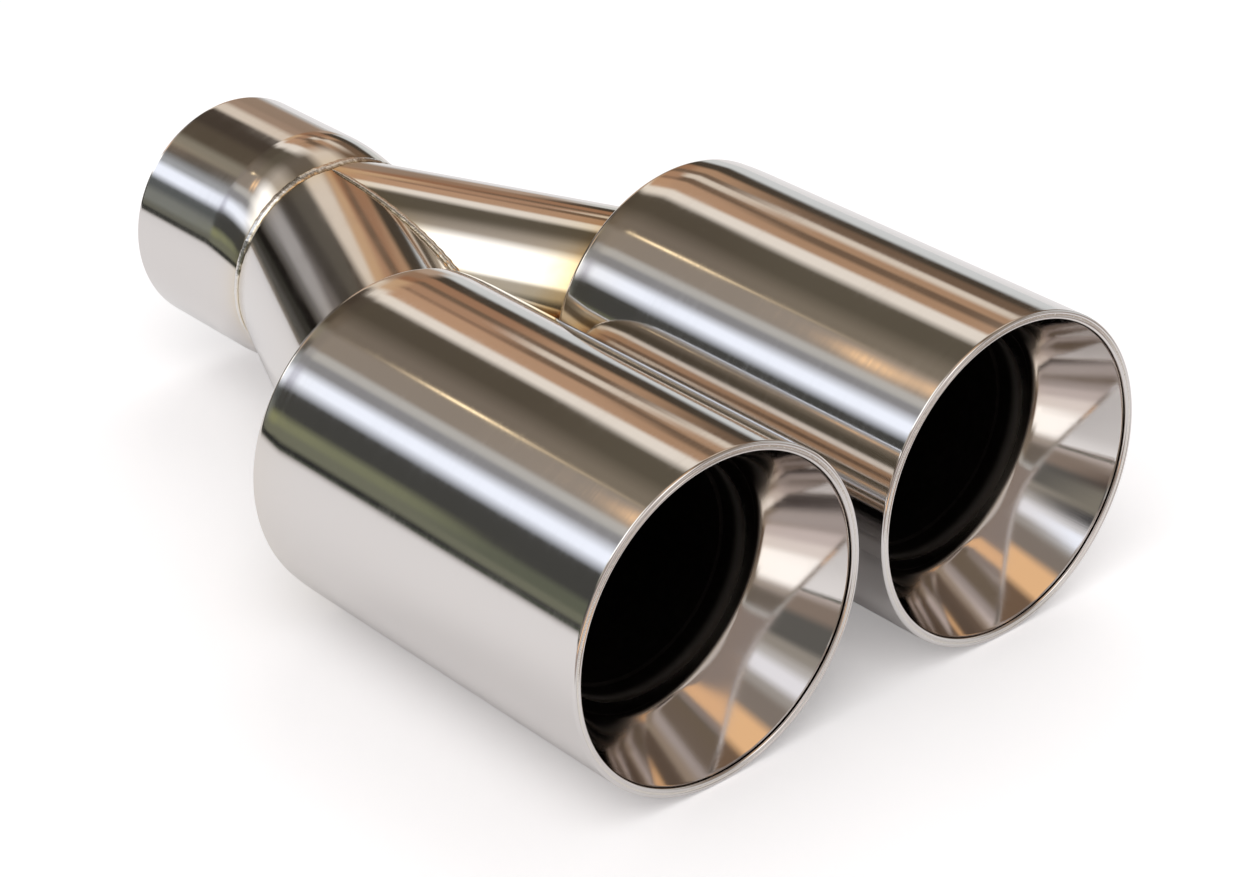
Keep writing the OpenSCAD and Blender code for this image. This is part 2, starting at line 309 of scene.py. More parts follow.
def spokes(tree, place, round_scale=150.0, depth_scale=60.0):
    """Coordinates for lines that run out from the axis of a can: the direction from the axis,
    whatever the distance, and the depth along it."""
    parts = put(tree, "ShaderNodeSeparateXYZ", {0: place}).outputs
    side = combine(tree, "ABSOLUTE", parts["X"])
    across = put(tree, "ShaderNodeMath", {0: side}, {1: can_x / 1000}, operation="SUBTRACT").outputs[0]
    spoke = put(tree, "ShaderNodeCombineXYZ", {"X": across, "Z": parts["Z"]}).outputs[0]
    unit = put(tree, "ShaderNodeVectorMath", {0: spoke}, operation="NORMALIZE").outputs[0]
    fan = put(tree, "ShaderNodeVectorMath", {0: unit}, {3: round_scale}, operation="SCALE").outputs[0]
    depth = put(tree, "ShaderNodeVectorMath", {0: place}, {1: (0, depth_scale, 0)},
                operation="MULTIPLY").outputs[0]
    return put(tree, "ShaderNodeVectorMath", {0: fan, 1: depth}, operation="ADD").outputs[0]


def stainless(name, metal, roughness, haze, lines, line_depth, wave_depth, oxide):
    """Buffed stainless steel. Lines are the stretch of the buffing lines along X, Y and Z, or
    None where they run out from the axis of a can. Oxide is the inside colour: a dull oxide on the
    collar and cans, and near-black painted shade on the legs and dishes."""
    material, tree = blank_material(name)
    shader = tree.nodes["Principled BSDF"]
    place = put(tree, "ShaderNodeTexCoord").outputs["Object"]
    if lines is None:
        stretched = spokes(tree, place)
    else:
        stretched = put(tree, "ShaderNodeMapping", {"Vector": place}, {"Scale": lines}).outputs[0]
    marks = put(tree, "ShaderNodeGroup", node_tree=buffing)
    tree.links.new(place, marks.inputs["Place"])
    tree.links.new(stretched, marks.inputs["Lines"])
    marks.inputs["Line Depth"].default_value = line_depth
    marks.inputs["Wave Depth"].default_value = wave_depth
    polish = remap(tree, marks.outputs["Haze"], low=roughness, high=roughness + haze)
    inside = put(tree, "ShaderNodeAttribute", attribute_name="inside").outputs["Fac"]
    unpolished_and_shaded_mix = put(tree, "ShaderNodeGroup", node_tree=unpolished_and_shaded)
    unpolished_and_shaded_mix.inputs["Oxide And Shade"].default_value = (*oxide, 1)
    for key, socket in (("Color", tinted(tree, metal, place)), ("Roughness", polish),
                        ("Inside", inside), ("Place", place)):
        tree.links.new(socket, unpolished_and_shaded_mix.inputs[key])
    bump = put(tree, "ShaderNodeBump", {"Height": marks.outputs["Height"]},
               {"Strength": 1.0, "Distance": 0.001})
    tree.links.new(unpolished_and_shaded_mix.outputs["Color"], shader.inputs["Base Color"])
    tree.links.new(unpolished_and_shaded_mix.outputs["Roughness"], shader.inputs["Roughness"])
    tree.links.new(bump.outputs["Normal"], shader.inputs["Normal"])
    shader.inputs["Metallic"].default_value = 1.0
    return material


mirror_steel = (0.74, 0.715, 0.70)
dull_oxide = (0.16, 0.15, 0.14)
collar_steel = stainless("collar_polished_stainless", mirror_steel, 0.07, 0.05, (25, 900, 25),
                         0.0016, 0.02, dull_oxide)


def collar_grid(turn):
    """The collar's section at every angle: rounded mouth, straight tube and necked arc to the
    seam on the outside, the cut along the legs' skin, and the same way back along the bore."""
    corner = np.linspace(0, pi / 2, 6)[:, None]
    straight = shares(8)[1:-1, None]
    neck = shares(30)[:, None]
    cut = np.linspace(0, 1, 5)[1:-1, None]
    ones = np.ones_like(turn)
    neck_wall = collar_wall + neck_gather
    outer_end = np.maximum(seam_at(turn, weld_fit), legs_start_at)
    inner_end = np.maximum(seam_at(turn, neck_wall + weld_fit), legs_start_at)
    outer_r = collar_outer(turn, outer_end)
    step_r = np.minimum(legs_outer(turn, inner_end) + weld_fit, collar_outer(turn, inner_end))
    to_seam = collar_bore_len + neck * (outer_end - collar_bore_len)
    to_mouth = inner_end + neck * (collar_bore_len - inner_end)
    radius = np.concatenate([
        (collar_r - mouth_edge_r + mouth_edge_r * np.sin(corner)) * ones,
        (collar_r + 0 * straight) * ones,
        collar_outer(turn, to_seam),
        outer_r + cut * (step_r - outer_r),
        step_r[None],
        collar_outer(turn, to_mouth) - neck_wall,
        (collar_bore_r + 0 * straight) * ones,
        (collar_bore_r + mouth_edge_r - mouth_edge_r * np.cos(corner)) * ones])
    along = np.concatenate([
        (mouth_edge_r - mouth_edge_r * np.cos(corner)) * ones,
        (mouth_edge_r + straight * (collar_bore_len - mouth_edge_r)) * ones,
        to_seam,
        outer_end + cut * (inner_end - outer_end),
        inner_end[None],
        to_mouth,
        (collar_bore_len + straight * (mouth_edge_r - collar_bore_len)) * ones,
        (mouth_edge_r - mouth_edge_r * np.sin(corner)) * ones])
    bore = np.arange(len(radius))[:, None] >= len(corner) + len(straight) + len(neck)
    tint = np.where(bore, bore_tint, collar_tint * np.exp((along - outer_end) / tint_fade))
    return polar(radius, turn, along), tint, bore


collar_points, collar_tints, collar_inside = collar_grid(around(collar_sides))
collar = skin("inlet_collar_tube", collar_points, weld_tint=collar_tints, inside=collar_inside)
fit(collar, "inlet_collar", collar_steel)


# Legs
# Two bent tubes of the same stainless steel. They are mitred against each other behind the
# collar, spread to the cans, turn parallel inside them and are swaged to meet the dishes.
leg_wall = 1.2
shell_wall = 1.2
dish_wall = 1.2
inner_run = 22.0
swage_len = 10.0
sizing_step = 0.3
sizing_ramp = 0.2
slip = 0.2
lip_land = 0.25
lip_bend_r = 2.0
dish_depth = 25.5
throat_bend_r = 25.0
neck_step = 4.85
neck_free = 2.0
can_end_tint = 1.35
can_end_fade = 8.5
collar_end_tint = 0.4
collar_end_at = 47.0
crotch_tint = 0.35
buffed_past_back = 3.0
leg_sides = 288
bend_tangent = (turn_depth - shell_wall) / cos(leg_angle)
bend_r = bend_tangent / tan(leg_angle / 2)
bend_len = bend_r * leg_angle
straight_len = can_x / sin(leg_angle) - bend_tangent
bend_end_at = turn_at + bend_tangent
neck_r = leg_r + neck_step / 2
swage_r = neck_r - slip

# The leg ends in the neck of the dish, so the dish's bends are worked out here already.
mouth_r = can_r - shell_wall - dish_wall
lip_c = (mouth_r - lip_bend_r, dish_wall / 2 + lip_land)
cone_run = (lip_c[0] - neck_r, dish_depth - lip_c[1])
cone_angle = atan(cone_run[0] / cone_run[1]) + asin(lip_bend_r / hypot(*cone_run))
throat_tangent = throat_bend_r * tan(cone_angle / 2)
leg_end_at = overall_len - dish_depth - throat_tangent - neck_free


def leg_line(s):
    """Centre line of the right leg and the in-plane normal, at arc length s from the branch
    point: straight at the leg's angle, an arc that turns it parallel to Y, then straight."""
    left = leg_angle - np.clip((s - straight_len) / bend_r, 0, leg_angle)
    before, after = np.minimum(s - straight_len, 0), np.maximum(s - straight_len - bend_len, 0)
    x = can_x - bend_r + bend_r * np.cos(left) + before * sin(leg_angle)
    y = -bend_end_at + bend_r * np.sin(left) - before * cos(leg_angle) - after
    return x, y, np.cos(left), np.sin(left)


def leg_grid(turn):
    """The right leg: rings about its centre line, which start on the mitre plane or on the square
    cut inside the collar, whichever comes later, run to the end inside the dish and come back
    along the bore. Past the bend the tube is a little wider, and the swage widens it evenly."""
    bend_end = straight_len + bend_len
    swage = bend_end + inner_run
    end = bend_end + leg_end_at - bend_end_at
    first = shares(26, 0.004)[:, None]
    bend = straight_len + shares(14, 0.01)[1:, None] * bend_len
    sized = np.linspace(bend_end + sizing_ramp, swage, 5)[:, None]
    widening = np.linspace(swage, swage + swage_len, 6)[1:, None]
    wide = np.linspace(swage + swage_len, end, 4)[1:, None]
    widened = swage_r - leg_r
    grown = np.concatenate([
        0 * first, 0 * bend, 0 * sized + sizing_step,
        sizing_step + (widened - sizing_step) * (widening - swage) / swage_len, 0 * wide + widened])
    s_all, r_all = [], []
    for wall, order in ((0.0, 1), (leg_wall, -1)):
        r = leg_r - wall
        mitre = -r * np.cos(turn) / tan(leg_angle)
        square = (legs_start_at - branch_at + r * np.cos(turn) * sin(leg_angle)) / cos(leg_angle)
        start = np.maximum(mitre, square)
        later = np.concatenate([bend, sized, widening, wide]) + 0 * turn
        s_all.append(np.concatenate([start + first * (straight_len - start), later])[::order])
        r_all.append((r + grown + 0 * turn)[::order])
    s, r = np.concatenate(s_all), np.concatenate(r_all)
    x, y, nx, ny = leg_line(s)
    points = np.stack([x + r * np.cos(turn) * nx, y + r * np.cos(turn) * ny, r * np.sin(turn)], -1)
    bore = np.arange(len(s))[:, None] >= len(s_all[0])
    to_can = np.clip(can_back_at + points[..., 1], 0, None)
    to_collar = np.clip(-points[..., 1] - collar_end_at, 0, None)
    tint = (can_end_tint * np.exp(-to_can / can_end_fade)
            + collar_end_tint * np.exp(-to_collar / tint_fade)
            + crotch_tint * np.exp(-points[..., 0] / tint_fade))
    # Painted shade: the bore, and the leg from a few millimetres inside the can on, get the near-black
    # inside colour, as the hollow seen through the dish's throat.
    hidden = bore | (points[..., 1] < -can_back_at - buffed_past_back)
    return points, np.where(bore, 0, np.clip(tint, 0, 1)), hidden


sides = (("left", -1), ("right", 1))
# Near-black inside colour for the legs: painted shade for their deep hollows.
painted_shade_black = (0.014, 0.012, 0.011)
leg_steel = stainless("leg_polished_stainless", mirror_steel, 0.07, 0.05, (60, 60, 900),
                      0.0012, 0.02, painted_shade_black)
leg_points, leg_tints, leg_inside = leg_grid(around(leg_sides))
for side, mirror in sides:
    leg = skin(side + "_leg_tube", leg_points * (mirror, 1, 1), weld_tint=leg_tints, inside=leg_inside)
    fit(leg, side + "_leg", leg_steel)


# Collar weld and crotch weld
# Two beads laid by hand without cleaning up: one follows the seam between the necked collar and
# the legs, the other lies in the valley along the mitre. Each puddle froze as a small crescent.
bead_w = 2.4
bead_h = 0.35
puddle_len = 1.3
puddle_bow = 0.55
puddle_h = 0.12  # share of the bead's height
crotch_step = 0.1  # share of the bead's height at its flanks
crotch_start = 0.9  # place past the collar's seam, as a share of half a bead
crotch_bluntness = 40  # the higher, the shorter its pointed ends
collar_bead_tint = 0.55
crotch_bead_tint = 0.5


def crescents(s, across):
    """Height of the frozen puddles at length s along the bead and place across it from -1 to 1:
    a saw tooth whose steps bow forward in the middle, rounded off by a square root."""
    phase = (s / puddle_len + puddle_bow * across**2) % 1
    return np.sqrt(1 - phase**2) * (1 - across**4)


def crown(s, share):
    """A bead's height, up to 1, at length s and share of its width: a half sine with the
    crescents on top."""
    return np.sin(pi * share) * (1 - puddle_h + puddle_h * crescents(s, 2 * share - 1))


def edge_tint(most, share):
    """The oxide mask round a bead's section: none at the root, which comes first, and none in
    the middle of its face, but the most at both edges, by the cube of the way there."""
    return np.concatenate([[0.0], most * np.abs(2 * share - 1) ** 3])


def weld_material():
    """Bright weld metal: coarser than the buffed tube, with straw and brown from the heat on its
    flanks and small pits from Voronoi cells."""
    material, tree = blank_material("bright_weld_metal")
    shader = tree.nodes["Principled BSDF"]
    place = put(tree, "ShaderNodeTexCoord").outputs["Object"]
    grain = put(tree, "ShaderNodeTexNoise", {"Vector": place},
                {"Scale": 1500.0, "Detail": 3.0}).outputs["Fac"]
    pits = put(tree, "ShaderNodeTexVoronoi", {"Vector": place}, {"Scale": 700.0})
    pit = remap(tree, pits.outputs["Distance"], end=0.25)
    bump = put(tree, "ShaderNodeBump", {"Height": combine(tree, "ADD", grain, pit)},
               {"Strength": 0.5, "Distance": 0.00008})
    colour = tinted(tree, (0.80, 0.78, 0.76), place)
    tree.links.new(colour, shader.inputs["Base Color"])
    tree.links.new(remap(tree, grain, low=0.14, high=0.34), shader.inputs["Roughness"])
    tree.links.new(bump.outputs["Normal"], shader.inputs["Normal"])
    shader.inputs["Metallic"].default_value = 1.0
    return material


def collar_bead_grid(turn, share):
    """The bead's section at each angle: its root in the seam, then the crown over the chord from
    the leg side back to the collar side. Its width wavers a little, as a hand does."""
    seam = seam_at(turn)
    half = bead_w / 2 * (1 + 0.05 * np.sin(turn * 41) + 0.04 * np.sin(turn * 67))
    on_collar = np.stack([collar_outer(turn, seam - half) + weld_fit, seam - half])
    on_leg = np.stack([legs_outer(turn, seam + half) + weld_fit, seam + half])
    chord = on_collar - on_leg
    up = np.stack([-chord[1], chord[0]]) / np.hypot(*chord)
    share = share[:, None]
    rise = bead_h * crown(collar_r * turn, share)
    root_r = collar_outer(turn, seam) + weld_fit
    r = np.concatenate([root_r[None], on_leg[0] + share * chord[0] + rise * up[0]])
    d = np.concatenate([seam[None], on_leg[1] + share * chord[1] + rise * up[1]])
    return polar(r, turn, d).swapaxes(0, 1)


def crotch_bead_grid(stations, share):
    """The bead in the valley: it follows the mitre ellipse, where two cylinders of the legs'
    radius cross the mid plane. Its two flanks lie along the legs, its crown rises from a low
    step, and it tapers to a point under the collar bead."""
    top = seam_at(np.array([pi / 2]))[0] + bead_w / 2 * crotch_start
    start = acos((top - branch_at) * sin(leg_angle) / leg_r)
    t = start * np.linspace(1, -1, stations)[:, None]
    n = np.stack([0 * t, -sin(leg_angle) * np.cos(t), np.sin(t)], -1)
    n /= np.linalg.norm(n, axis=-1, keepdims=True)
    valley = np.stack([0 * t, -branch_at - leg_r * np.cos(t) / sin(leg_angle), leg_r * np.sin(t)], -1)
    root = valley + n * weld_fit
    path = leg_r / sin(leg_angle) * t
    taper = np.sqrt(np.clip(1 - (np.abs(t) / start) ** crotch_bluntness, 0, 1))
    width = bead_w * taper * (1 + 0.06 * np.sin(path * 1.3))
    flank = width[..., None] * np.array([sin(leg_angle), -cos(leg_angle), 0])
    other_flank = flank * (-1, 1, 1)
    rise = bead_h * taper * (crotch_step + crown(path, share))
    face = root + flank + (other_flank - flank) * share[:, None] + n * rise[..., None]
    return np.concatenate([root, face], 1)


weld_metal = weld_material()
bead_share = np.linspace(0, 1, 14)
collar_bead = skin("collar_weld_bead", collar_bead_grid(around(1400), bead_share), sharp=50,
                   weld_tint=edge_tint(collar_bead_tint, bead_share))
fit(collar_bead, "collar_weld", weld_metal)
bead_share = np.linspace(0, 1, 12)
crotch_bead = skin("crotch_weld_bead", crotch_bead_grid(420, bead_share), ring=False, sharp=50,
                   weld_tint=edge_tint(crotch_bead_tint, bead_share))
fit(crotch_bead, "crotch_weld", weld_metal)


# Cans
# The outer shells, drawn from stainless sheet with a rounded shoulder and a flat back, and
# buffed on a lathe. The leg comes in through a hole in the back and is welded there.
shoulder_r = 2.5
taper_r = 120.0
taper_angle = radians(4)
nose_r = shell_wall / 2
back_tint = 0.9
back_fade = 9.0
can_sides = 360
rings_past_lip = 3  # rings inside the lip that are still buffed


def can_ring(r, turn, d):
    """Points at radius r and angle turn about the right can's axis, at distance d from the
    inlet's mouth."""
    return polar(r, turn, d) + (can_x, 0, 0)


def bow(middle, r, start, end, steps):
    """An arc of a section, as pairs of radius and place along the axis, from one angle to
    another: 0 points away from the axis and a quarter turn along it."""
    angle = np.linspace(start, end, steps)
    return np.stack([middle[0] + r * np.cos(angle), middle[1] + r * np.sin(angle)], 1)


def run(p, q, steps, edge=0.01):
    """The points between the ends of a straight stretch of a section."""
    return np.array(p) + shares(steps, edge)[1:-1, None] * (np.array(q) - np.array(p))


def shell_grid(turn):
    """The right shell: from the leg's hole across the flat back, round the shoulder, along the
    wall, over the half-round lip, and the same way back inside to the hole. On the back the
    rings change evenly from the hole's ellipse to the can's circle."""
    def hole(d):
        """The ellipse that the leg cuts in the plane at distance d."""
        middle = (d - branch_at) * tan(leg_angle)
        return np.stack([middle + (leg_ax + weld_fit) * np.cos(turn), -d + 0 * turn,
                         (leg_r + weld_fit) * np.sin(turn)], -1)

    taper_x = can_r - taper_r
    corner_c = (taper_x + (taper_r - shoulder_r) * cos(taper_angle), can_back_at + shoulder_r)
    taper_at = corner_c[1] + (taper_r - shoulder_r) * sin(taper_angle)
    lip_at = overall_len - nose_r
    outer = np.concatenate([
        bow(corner_c, shoulder_r, -pi / 2, -taper_angle, 24),
        bow((taper_x, taper_at), taper_r, -taper_angle, 0, 16)[1:],
        run((can_r, taper_at), (can_r, lip_at), 12, 0.002),
        bow((can_r - nose_r, lip_at), nose_r, 0, pi, 15)])
    bore_r = can_r - shell_wall
    inner = np.concatenate([
        run((bore_r, lip_at), (bore_r, taper_at), 4, 0.002),
        bow((taper_x, taper_at), taper_r - shell_wall, 0, -taper_angle, 6)[:-1],
        bow(corner_c, shoulder_r - shell_wall, -taper_angle, -pi / 2, 10)])
    front_at = can_back_at + shell_wall
    outer_hole, outer_rim = hole(can_back_at), can_ring(corner_c[0], turn, can_back_at)
    inner_hole, inner_rim = hole(front_at), can_ring(corner_c[0], turn, front_at)
    back = outer_hole + shares(7, 0.04)[:-1, None, None] * (outer_rim - outer_hole)
    points = np.concatenate([
        back, can_ring(outer[:, :1], turn, outer[:, 1:]), can_ring(inner[:, :1], turn, inner[:, 1:]),
        inner_rim + shares(3, 0.04)[1:, None, None] * (inner_hole - inner_rim)])
    across = np.linalg.norm((points - outer_hole)[..., ::2], axis=-1)
    from_hole = across + np.clip(-points[..., 1] - can_back_at, 0, None)
    inside = np.arange(len(points))[:, None] >= len(back) + len(outer) + rings_past_lip
    return points, back_tint * np.exp(-from_hole / back_fade), inside


can_steel = stainless("can_polished_stainless", mirror_steel, 0.06, 0.06, (22, 1100, 22),
                      0.0014, 0.015, dull_oxide)
shell_points, shell_tints, shell_inside = shell_grid(around(can_sides))
for side, mirror in sides:
    can = skin(side + "_can", shell_points * (mirror, 1, 1), weld_tint=shell_tints, inside=shell_inside)
    fit(can, side + "_shell", can_steel)


# Welds between legs and cans
# A fillet bead round each leg on the flat back of its can, out of sight from the front and left
# as laid, with the same frozen puddles as the other beads.
fillet_w = 2.2
fillet_ripple = 0.07
fillet_tint = 0.6


def shell_bead_grid(turn, share):
    """The fillet at each angle round the leg: its root in the corner of the hole's ellipse, one
    foot along the leg, the other out on the back of the can, and a slightly full face with
    crescents between them."""
    cos_t, sin_t = np.cos(turn)[:, None], np.sin(turn)[:, None]
    middle = (can_back_at - branch_at) * tan(leg_angle)
    along = np.array([-sin(leg_angle), cos(leg_angle), 0])
    out = np.stack([cos_t / leg_ax, 0 * cos_t, sin_t / leg_r], -1)
    out /= np.linalg.norm(out, axis=-1, keepdims=True)
    corner = np.stack([middle + leg_ax * cos_t, -can_back_at + 0 * cos_t, leg_r * sin_t], -1)
    root = corner + out * weld_fit
    a = (share * pi / 2)[:, None]
    puddles = crescents(leg_r * turn[:, None], 2 * share - 1)
    size = fillet_w * (1 - fillet_ripple + fillet_ripple * puddles)
    face = root + size[..., None] * (np.cos(a) * along + np.sin(a) * out)
    return np.concatenate([root, face], 1)


shell_bead = shell_bead_grid(around(1200), bead_share)
for side, mirror in sides:
    bead = skin(side + "_can_bead", shell_bead * (mirror, 1, 1), sharp=50,
                weld_tint=edge_tint(fillet_tint, bead_share))
    fit(bead, side + "_shell_weld", weld_metal)


# Dishes
# The cone in each mouth is spun from sheet and polished. Behind the throat it turns into a neck
# that slips over the leg's end. From a little before the throat the metal fades into a dull near
# black, painted shade for the deep hollow, with a faint warm painted tint at its edge.
dish_neck_len = 12.0
# The painted shade in each throat: how far before the cone's depth it begins, and the length over which
# it deepens to full near black.
shade_before_throat = 2.5
shade_fade = 7.0
# A faint warm tint painted round the throat, as the brown edge of its painted shade.
throat_shade_tint = 0.15


def dish_grid(turn):
    """The right dish: its section, turned about the can's axis. From the half-round lip it
    follows the land, the bend, the cone, the throat's bend and the neck, and comes back behind
    them. Its places along the axis are depths behind the lip."""
    throat_c = (neck_r + throat_bend_r, dish_depth + throat_tangent)
    neck_end = dish_depth + throat_tangent + dish_neck_len
    lip = bow((mouth_r + nose_r, nose_r), nose_r, 0, -pi, 15)
    front_bend = bow(lip_c, lip_bend_r, 0, cone_angle, 9)
    throat = bow(throat_c, throat_bend_r, pi + cone_angle, pi, 26)
    face = np.concatenate([
        lip, run(lip[-1], front_bend[0], 2, 0.1), front_bend, run(front_bend[-1], throat[0], 10),
        throat, run(throat[-1], (neck_r, neck_end), 6), [(neck_r, neck_end)]])
    back_neck = (neck_r + dish_wall, neck_end)
    back_throat = bow(throat_c, throat_bend_r - dish_wall, pi, pi + cone_angle, 12)
    back_bend = bow(lip_c, lip_bend_r + dish_wall, cone_angle, 0, 6)
    section = np.concatenate([
        face, [back_neck], run(back_neck, back_throat[0], 2), back_throat,
        run(back_throat[-1], back_bend[0], 3), back_bend])
    depth = section[:, 1:]
    behind = np.arange(len(section))[:, None] >= len(face)
    # Painted shade: the face fades smoothly into the near-black inside colour towards the throat, and
    # the back is near black all over.
    dark = np.clip((depth - dish_depth + shade_before_throat) / shade_fade, 0, 1)
    inside = np.where(behind, 1, dark**2 * (3 - 2 * dark))
    # The warm tint round the throat is painted shade too, carried by the same mask as the welds' heat
    # tint.
    tint = np.where(behind, 0, throat_shade_tint * np.exp(-np.abs(depth - dish_depth) / tint_fade))
    return can_ring(section[:, :1], turn, overall_len - depth), tint, inside


# The near-black inside colour of the dishes is painted shade for the throat and the hollow behind it.
dish_steel = stainless("dish_polished_stainless", (0.74, 0.71, 0.69), 0.05, 0.06, None,
                       0.003, 0.02, (0.012, 0.010, 0.009))
dish_points, dish_tints, dish_inside = dish_grid(around(can_sides))
for side, mirror in sides:
    dish = skin(side + "_dish_cone", dish_points * (mirror, 1, 1), weld_tint=dish_tints,
                inside=dish_inside)
    fit(dish, side + "_dish", dish_steel)


# Rim seams
# The half-round edges of shell and dish are fused where they touch, which leaves a fine line
# round the middle of the lip.
seam_w = 0.5
seam_tint = 0.1


def rim_seam_grid(turn, steps=8):
    """The seam fills the groove between the two half-round edges as far out as its width allows:
    up the outer edge's curve, and down the inner one's, turned about the can's axis."""
    joint_r = can_r - shell_wall
    opening = acos(1 - seam_w / 2 / nose_r)
    a = opening * np.linspace(1 / steps, 1, steps)
    rise = nose_r * (1 - np.sin(a))
    outer = np.stack([joint_r + nose_r * (1 - np.cos(a)), rise], 1)
    inner = np.stack([joint_r - nose_r * (1 - np.cos(a)), rise], 1)[::-1]
    section = np.concatenate([[[joint_r, nose_r]], outer, inner])
    return can_ring(section[:, :1], turn, overall_len - section[:, 1:])


rim_points = rim_seam_grid(around(can_sides))
for side, mirror in sides:
    seam = skin(side + "_rim_seam", rim_points * (mirror, 1, 1), weld_tint=seam_tint)
    fit(seam, side + "_rim_weld", weld_metal)


# Floor and light tent
# The part lies on a plain pale floor. Round it stands a tent of coloured cards, which only the
# mirror finish sees, in bands that run the length of the cans.
floor_z = -44.5
floor_half = 9000.0
floor_mesh = bpy.data.meshes.new("floor")
floor_mesh.from_pydata([(x * floor_half / 1000, y * floor_half / 1000, floor_z / 1000)
                        for x, y in ((-1, -1), (1, -1), (1, 1), (-1, 1))], [], [(0, 1, 2, 3)])
floor = placed("floor", floor_mesh)

# What the mirrors see of the floor, in metres: where the dark begins and is full along X, where
# the mat does along Y, and the middle and half sizes of the card on it.
dark_x = (-0.42, -0.75)
mat_y = (-0.33, -0.35)
card_middle = (-0.1475, -0.495, 0)
card_half = (0.0925, 0.085, 1)


def seen_by_mirrors(tree):
    """1 for camera, glossy and transmission rays, else 0."""
    rays = put(tree, "ShaderNodeLightPath").outputs
    seen = combine(tree, "MAXIMUM", rays["Is Camera Ray"], rays["Is Glossy Ray"])
    return combine(tree, "MAXIMUM", seen, rays["Is Transmission Ray"])


def floor_material():
    """A matt pale floor that keeps the part's shadow, lifted to white for the camera. The mirror
    finish sees a duller one, which ends in the dark some way to the left, and in front of the
    part gives way to a taupe mat with an orange card on it."""
    material, tree = blank_material("pale_floor")
    tree.nodes.remove(tree.nodes["Principled BSDF"])
    matt = put(tree, "ShaderNodeBsdfDiffuse", values={"Color": (0.87, 0.85, 0.85, 1)})
    mirrored = put(tree, "ShaderNodeLightPath").outputs["Is Glossy Ray"]
    lift = remap(tree, mirrored, low=0.26, high=0.04)
    only_seen = combine(tree, "MULTIPLY", lift, seen_by_mirrors(tree))
    glow = put(tree, "ShaderNodeEmission", {"Strength": only_seen}, {"Color": (1, 0.98, 0.98, 1)})
    both = put(tree, "ShaderNodeAddShader", {0: matt.outputs[0], 1: glow.outputs[0]}).outputs[0]
    place = put(tree, "ShaderNodeTexCoord").outputs["Object"]
    parts = put(tree, "ShaderNodeSeparateXYZ", {0: place}).outputs
    beyond = remap(tree, parts["X"], *dark_x)
    in_front = remap(tree, parts["Y"], *mat_y)
    from_card = put(tree, "ShaderNodeVectorMath", {0: place}, {1: card_middle},
                    operation="SUBTRACT").outputs[0]
    in_halves = put(tree, "ShaderNodeVectorMath", {0: from_card}, {1: card_half},
                    operation="DIVIDE").outputs[0]
    off_middle = put(tree, "ShaderNodeVectorMath", {0: in_halves}, operation="ABSOLUTE").outputs[0]
    ways = put(tree, "ShaderNodeSeparateXYZ", {0: off_middle}).outputs
    on_card = remap(tree, combine(tree, "MAXIMUM", ways["X"], ways["Y"]), 1.15, 0.9)
    front = put(tree, "ShaderNodeMix", {0: on_card},
                {6: (0.42, 0.36, 0.33, 1), 7: (1.25, 0.80, 0.46, 1)}, data_type="RGBA").outputs[2]
    colour = put(tree, "ShaderNodeMix", {0: beyond, 6: front}, {7: (0.07, 0.08, 0.06, 1)},
                 data_type="RGBA").outputs[2]
    flat = put(tree, "ShaderNodeEmission", {"Color": colour}).outputs[0]
    share = combine(tree, "MULTIPLY", combine(tree, "MAXIMUM", beyond, in_front), mirrored)
    ends = put(tree, "ShaderNodeMixShader", {0: share, 1: both, 2: flat}).outputs[0]
    tree.links.new(ends, tree.nodes["Material Output"].inputs["Surface"])
    return material


floor_mesh.materials.append(floor_material())

# Colours of the cards
white = (1.25, 1.17, 1.13)
window = (1.9, 1.9, 1.88)
daylight = (1.18, 1.26, 1.42)
pale_cream = (1.0, 0.92, 0.82)
cream = (0.85, 0.74, 0.62)
rose = (0.86, 0.78, 0.75)
sky = (0.72, 0.74, 0.74)
orange = (1.0, 0.62, 0.33)
timber = (0.50, 0.31, 0.19)
brown = (0.20, 0.13, 0.085)
dark_brown = (0.075, 0.058, 0.042)
taupe = (0.34, 0.29, 0.24)
pale_grey = (0.58, 0.57, 0.54)
grey = (0.32, 0.32, 0.33)
olive = (0.20, 0.205, 0.15)
charcoal = (0.07, 0.07, 0.065)
near_black = (0.03, 0.03, 0.03)

